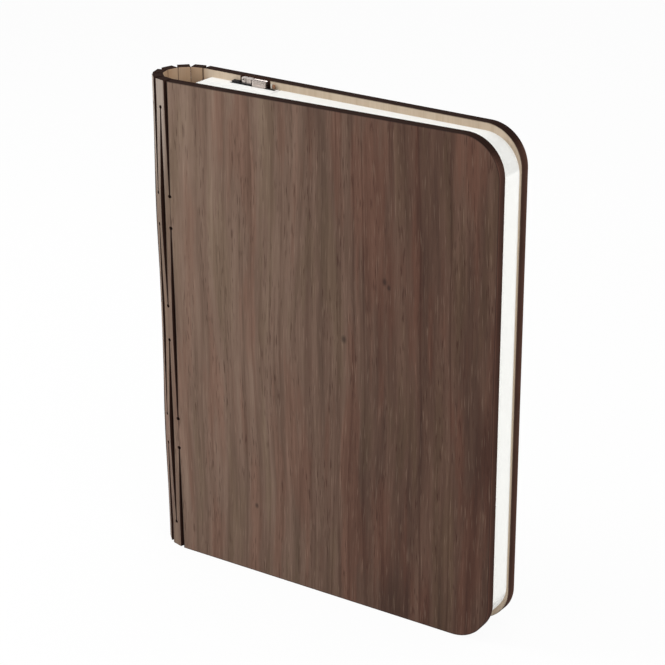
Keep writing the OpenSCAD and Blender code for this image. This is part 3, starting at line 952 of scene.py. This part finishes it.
for nodeName, (finish, edgeRadius) in carried.items():
    node = frame["nodes"][nodeName]
    for materialSlot in node.material_slots:
        materialSlot.material = finish
    if edgeRadius:
        thin = node.modifiers.new("cleanFaces", "DECIMATE")
        thin.decimate_type, thin.angle_limit = "DISSOLVE", rounding["flat"]
        bevel = node.modifiers.new("roundEdges", "BEVEL")
        bevel.width, bevel.segments, bevel.limit_method = edgeRadius, rounding["segments"], "ANGLE"
        bevel.angle_limit, bevel.harden_normals = rounding["sharp"], False

# Pieces on the back cover: u leads along it from its fold, w in from its inner
# face toward the pages, z up. A corner is the radius of the upright edges.
edging = {"corner": 0.15 * mm, "chamfer": 0.08 * mm, "least": 0.02 * mm, "steps": 3}


def blockRing(build, u, w, corner, inset, z):
    radius, steps = max(corner - inset, edging["least"]), edging["steps"]
    ring = []
    for n, (cu, cw) in enumerate(((1, 1), (0, 1), (0, 0), (1, 0))):
        for k in range(steps + 1):
            a = math.pi / 2 * (n + k / steps)
            centreU = u[cu] - (radius + inset if cu else -radius - inset)
            centreW = w[cw] - (radius + inset if cw else -radius - inset)
            ring.append(build.point(
                backSide.at(centreU + radius * math.cos(a), -half - centreW - radius * math.sin(a), z)))
    return ring


def skin(build, loops, kind=0, bottom=True, top=True):
    for a, b in zip(loops, loops[1:]):
        for k in range(len(a)):
            build.face([a[k - 1], a[k], b[k], b[k - 1]], kind)
    if bottom:
        build.face(loops[0], kind)
    if top:
        build.face(loops[-1], kind)


def block(build, u, w, z, corner=edging["corner"], chamfer=edging["chamfer"], kind=0):
    heights = ((chamfer, z[0]), (0, z[0] + chamfer), (0, z[1] - chamfer), (chamfer, z[1]))
    skin(build, [blockRing(build, u, w, corner, inset, at) for inset, at in heights], kind)


def about(middle, halfSize):
    return middle - halfSize, middle + halfSize


def backPiece(build, name, finishes, node):
    piece = build.piece(name, finishes)
    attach(piece, "back_cover")
    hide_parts(node)


socket = {
    "u": (27 * mm, 34.5 * mm),
    "w": (-0.5 * mm, 2.1 * mm),
    "z": (209 * mm, 214.6 * mm),
    "corner": 0.9 * mm,
    "wall": 0.3 * mm,
    "flare": 0.16 * mm,
    "lip": 0.32 * mm,
    "lipEdge": 0.05 * mm,
    "footEdge": 0.1 * mm,
    "seam": 1.7 * mm,
    "seamDepth": 0.24 * mm,
    "seamHalf": (0.25 * mm, 0.2 * mm),
    "floor": 1 * mm,
    "tongue": (4.1 * mm, 0.6 * mm),
    "tongueSunk": (0.1 * mm, 0.4 * mm),
    "tongueEdge": (0.12 * mm, 0.08 * mm),
    "contacts": 5,
    "contactShare": 0.5,  # of the space between the middles of two contacts
    "contactSunk": (0.3 * mm, 0.7 * mm),
    "contactRise": (-0.02 * mm, 0.06 * mm),
    "contactEdge": (0.02 * mm, 0.015 * mm),
}


def socketPiece():
    p = socket
    build = Builder()
    (z0, z1), wall, flare, lip, foot = p["z"], p["wall"], p["flare"], p["lip"], p["footEdge"]
    floor = z0 + p["floor"]
    seam, deepest = z1 - p["seam"], flare + p["seamDepth"]
    wide, narrow = p["seamHalf"]
    outside = [
        (flare + foot, z0), (flare, z0 + foot), (flare, seam - wide), (deepest, seam - narrow),
        (deepest, seam + narrow), (flare, seam + wide), (flare, z1 - lip), (0, z1 - p["lipEdge"]), (p["lipEdge"], z1),
    ]

    def loop(inset, z):
        return blockRing(build, p["u"], p["w"], p["corner"], inset, z)

    skin(build, [loop(inset, z) for inset, z in outside + [(wall, z1), (flare + wall, z1 - lip)]], top=False)
    # the cavity gets the black finish: its back is plastic, but its steel walls are drawn black as painted shade
    # inside the mouth
    skin(build, [loop(flare + wall, z) for z in (z1 - lip, floor)], 1, bottom=False)
    middleU, middleW = sum(p["u"]) / 2, sum(p["w"]) / 2
    width, depth = p["tongue"]
    below, above = p["tongueSunk"]
    block(build, about(middleU, width / 2), about(middleW, depth / 2), (floor - below, z1 - lip - above),
          *p["tongueEdge"], 1)
    step = width / p["contacts"]
    face = middleW + depth / 2
    above, below = p["contactSunk"]
    for k in range(p["contacts"]):
        u = middleU - width / 2 + step * (k + 0.5)
        block(build, about(u, step * p["contactShare"] / 2), [face + rise for rise in p["contactRise"]],
              (floor + above, z1 - lip - below), *p["contactEdge"], 2)
    backPiece(build, "usbSocket", [steel, black, gold], "usb_socket")


sensor = {
    "u": (21.3 * mm, 26.5 * mm),
    "w": (-1.3 * mm, 1.1 * mm),
    "z": (210.2 * mm, 214.6 * mm),
    "foot": {"rise": 0.4 * mm, "corner": 0.3 * mm},
    "core": {"insets": (0.2 * mm, 0.3 * mm), "from": 0.2 * mm, "to": 0.5 * mm},
    "can": {"inset": 0.1 * mm, "from": 0.35 * mm, "corner": 0.35 * mm, "chamfer": 0.22 * mm},
    "seam": 2.2 * mm,
    "seamGap": 0.3 * mm,
    "eye": 0.62 * mm,
    "eyeDrop": 0.95 * mm,
    "eyeSteps": 16,
    # radius as a share of the eye, and how far it stands proud in millimetres
    "eyeRings": ((1.0, -0.02), (1.0, 0.08), (0.8, 0.1), (0.62, 0.06), (0.6, 0.02)),
}


def sensorPiece():
    p = sensor
    build = Builder()
    (u0, u1), (w0, w1), (z0, z1) = p["u"], p["w"], p["z"]
    foot, core, can = p["foot"], p["core"], p["can"]
    split, gap, edge = u0 + p["seam"], p["seamGap"], can["inset"]
    block(build, (u0, u1), (w0, w1), (z0, z0 + foot["rise"]), foot["corner"])
    inU, inW = core["insets"]
    block(build, (u0 + inU, u1 - inU), (w0 + inW, w1 - inW), (z0 + core["from"], z1 - core["to"]), kind=1)
    for ends in ((u0 + edge, split), (split + gap, u1 - edge)):
        block(build, ends, (w0 + edge, w1 - edge), (z0 + can["from"], z1), can["corner"], can["chamfer"])
    # round eye in a raised ring on the face toward the pages
    centreU, centreZ, steps = (u0 + split) / 2, z1 - p["eyeDrop"], p["eyeSteps"]
    rings = []
    for radius, rise in p["eyeRings"]:
        turns = [2 * math.pi * k / steps for k in range(steps)]
        rings.append([build.point(backSide.at(
            centreU + p["eye"] * radius * math.cos(a), -half - w1 + edge - rise * mm,
            centreZ + p["eye"] * radius * math.sin(a))) for a in turns])
    skin(build, rings, 0, bottom=True, top=False)
    build.face(rings[-1], 2)
    backPiece(build, "openSensor", [steel, black, glass], "open_sensor")


controlBoard = {
    "u": (17 * mm, 39 * mm),
    "w": (1.1 * mm, 1.9 * mm),
    "z": (190.8 * mm, 212.8 * mm),
    "edge": 0.12 * mm,
    "shoulder": 20.9 * mm,
    "tops": (212.35 * mm, 212.0 * mm),
    "slotPlay": 0.1 * mm,
    "plug": {
        "u": (17.2 * mm, 20.6 * mm),
        "w": (0.2 * mm, 1.1 * mm),
        "z": (210.6 * mm, 213.0 * mm),
        "edge": (0.2 * mm, 0.15 * mm),
    },
    "pins": {
        "count": 4,
        "first": 17.7 * mm,
        "step": 0.8 * mm,
        "width": 0.3 * mm,
        "rise": (-0.02 * mm, 0.05 * mm),
        "z": (211 * mm, 211.8 * mm),
        "edge": (0.03 * mm, 0.02 * mm),
    },
}
# Small parts on the board's face toward the pages, in millimetres: kind, corner,
# chamfer and height, then u, width, z and height up the board of each
smallParts = {
    "chips": [(1, 0.2, 0.15, 0.9, 20, 5, 200, 5), (1, 0.2, 0.15, 1, 29, 3, 201, 3)],
    "ceramics": [(3, 0.05, 0.04, 0.5, 19 + 2.4 * k, 1.2, 197.2 + 0.4 * (k % 2), 0.6) for k in range(6)],
    "ceramicEnds": [(2, 0.05, 0.04, 0.3, 19 + 2.4 * k + side, 0.4, 197.2 + 0.4 * (k % 2), 0.6)
                    for k in range(6) for side in (-0.25, 1.05)],
    "chipPins": [(2, 0.03, 0.02, 0.15, u, 0.4, 200.5 + 1.2 * n, 0.5) for n in range(4) for u in (19.6, 25.05)],
    "pads": [(2, 0.3, 0.03, 0.08, u - 0.8, 1.6, 192, 2.6) for u in (20, 23, 31, 34)],
}


def boardPiece():
    p = controlBoard
    build = Builder()
    (u0, u1), (w0, w1), (z0, z1), play = p["u"], p["w"], p["z"], p["slotPlay"]
    cutLeft, cutRight, cutLow = socket["u"][0] - play, socket["u"][1] + play, socket["z"][0] - play
    shoulder, (leftTop, rightTop) = p["shoulder"], p["tops"]
    # corners, and which way the chamfer moves each along both of its edges
    outline = [
        ((u0, z0), (1, 1)), ((u1, z0), (-1, 1)), ((u1, rightTop), (-1, -1)), ((cutRight, rightTop), (1, -1)),
        ((cutRight, cutLow), (1, -1)), ((cutLeft, cutLow), (-1, -1)), ((cutLeft, leftTop), (-1, -1)),
        ((shoulder, leftTop), (-1, -1)), ((shoulder, z1), (-1, -1)), ((u0, z1), (1, -1)),
    ]
    e = p["edge"]
    loops = []
    for w, inset in ((w0, e), (w0 + e, 0), (w1 - e, 0), (w1, e)):
        loops.append([build.point(backSide.at(u + inset * du, -half - w, z + inset * dz))
                      for (u, z), (du, dz) in outline])
    skin(build, loops)
    plug, pins = p["plug"], p["pins"]
    block(build, plug["u"], plug["w"], plug["z"], *plug["edge"], 1)
    for k in range(pins["count"]):
        along = about(pins["first"] + pins["step"] * k, pins["width"] / 2)
        block(build, along, [w1 + rise for rise in pins["rise"]], pins["z"], *pins["edge"], 2)
    for group in smallParts.values():
        for kind, corner, chamfer, rise, u, width, z, tall in group:
            block(build, (u * mm, (u + width) * mm), (w1, w1 + rise * mm), (z * mm, (z + tall) * mm),
                  corner * mm, chamfer * mm, kind)
    backPiece(build, "controlBoard", [mask, black, tin, ceramic], "control_board")


chargeLight = {
    "u": (36.6 * mm, 38.6 * mm),
    "w": (0.4 * mm, 1.1 * mm),
    "z": (212.2 * mm, 214 * mm),
    "foot": {"share": 0.3, "edge": (0.08 * mm, 0.06 * mm)},  # the pale foot's share of the length
    "dome": {"overlap": 0.01 * mm, "inset": 0.05 * mm, "drop": 0.08 * mm, "edge": (0.25 * mm, 0.2 * mm)},
}


def chargeLightPiece():
    p = chargeLight
    build = Builder()
    (u0, u1), (w0, w1), (z0, z1), foot, dome = p["u"], p["w"], p["z"], p["foot"], p["dome"]
    split, inset = u0 + (u1 - u0) * foot["share"], dome["inset"]
    block(build, (u0, split), (w0, w1), (z0, z1), *foot["edge"], 1)
    block(build, (split - dome["overlap"], u1), (w0 + inset, w1 - inset), (z0, z1 - dome["drop"]), *dome["edge"])
    backPiece(build, "chargeLight", [amber, ceramic], "charge_light")


socketPiece()
sensorPiece()
boardPiece()
chargeLightPiece()
print("light module made")

# Lamps: name, place, size and power
studio = {
    "floor": 6.0,
    "floorTone": (0.8, 0.8, 0.8, 1),
    "white": (1, 1, 1, 1),
    "lamps": [
        ("leftSoftbox", (-0.7, -0.3, 0.52), 0.4, 4.5),
        ("rightSoftbox", (1.25, -0.5, 0.8), 1.1, 9.8),
        ("topSoftbox", (0, 0.15, 1.7), 1.2, 7.4),
    ],
    "aim": (0, 0, 0.11),
    "world": 0.5,
    "shadow": 0.06,
}


# What the camera, metal and glass see behind the object: plain white
def whiteSeen(s):
    rays = ("Is Camera Ray", "Is Glossy Ray", "Is Transmission Ray")
    camera, glossy, through = (s.add("ShaderNodeLightPath", {}, {}, ray) for ray in rays)
    return s.add("ShaderNodeMath", {"operation": "ADD", "use_clamp": True}, {0: camera + glossy, 1: through})


def makeFloor():
    s = newFinish("paleFloor")
    mesh = bpy.data.meshes.new("floor")
    size = studio["floor"]
    mesh.from_pydata([(-size, -size, 0), (size, -size, 0), (size, size, 0), (-size, size, 0)], [], [(0, 1, 2, 3)])
    floor = newObject("floor", mesh)
    shade = s.add("ShaderNodeBsdfDiffuse", {}, {"Color": studio["floorTone"]})
    white = s.add("ShaderNodeEmission", {}, {"Color": studio["white"], "Strength": 1.0})
    mixed = s.add("ShaderNodeMixShader", {}, {0: whiteSeen(s) * (1 - studio["shadow"]), 1: shade, 2: white})
    s.add("ShaderNodeOutputMaterial", {}, {"Surface": mixed})
    mesh.materials.append(s.owner)


def makeWorld():
    world = bpy.data.worlds.new("studioSky")
    bpy.context.scene.world = world
    s = Shader(world)
    dim = s.add("ShaderNodeBackground", {}, {"Color": studio["white"], "Strength": studio["world"]})
    white = s.add("ShaderNodeBackground", {}, {"Color": studio["white"], "Strength": 1.0})
    mixed = s.add("ShaderNodeMixShader", {}, {0: whiteSeen(s), 1: dim, 2: white})
    s.add("ShaderNodeOutputWorld", {}, {"Surface": mixed})


def makeLamps():
    for name, place, size, power in studio["lamps"]:
        light = bpy.data.lights.new(name, "AREA")
        light.shape, light.size, light.energy = "DISK", size, power
        lamp = newObject(name, light)
        lamp.location = place
        lamp.rotation_euler = (Vector(studio["aim"]) - Vector(place)).to_track_quat("-Z", "Y").to_euler()


view = {
    "azimuth": math.radians(34.435),
    "elevation": math.radians(22.534),
    "roll": math.radians(-0.3177),
    "distance": 832.06 * mm,
    "target": (1.898 * mm, 0, 115.627 * mm),
    "lens": 109.02,
    "sensor": 36,
    "clip": (0.01, 50),
}


def makeCamera():
    data = bpy.data.cameras.new("camera")
    data.lens, data.sensor_width = view["lens"], view["sensor"]
    data.clip_start, data.clip_end = view["clip"]
    camera = newObject("camera", data)
    az, el = view["azimuth"], view["elevation"]
    back = Vector((math.sin(az) * math.cos(el), -math.cos(az) * math.cos(el), math.sin(el)))
    place = Vector(view["target"]) + back * view["distance"]
    turn = back.to_track_quat("Z", "Y").to_matrix() @ Matrix.Rotation(view["roll"], 3, "Z")
    camera.matrix_world = Matrix.Translation(place) @ turn.to_4x4()
    bpy.context.scene.camera = camera


makeFloor()
makeWorld()
makeLamps()
makeCamera()
bpy.context.scene.view_settings.view_transform = "Standard"
print("studio and camera made")
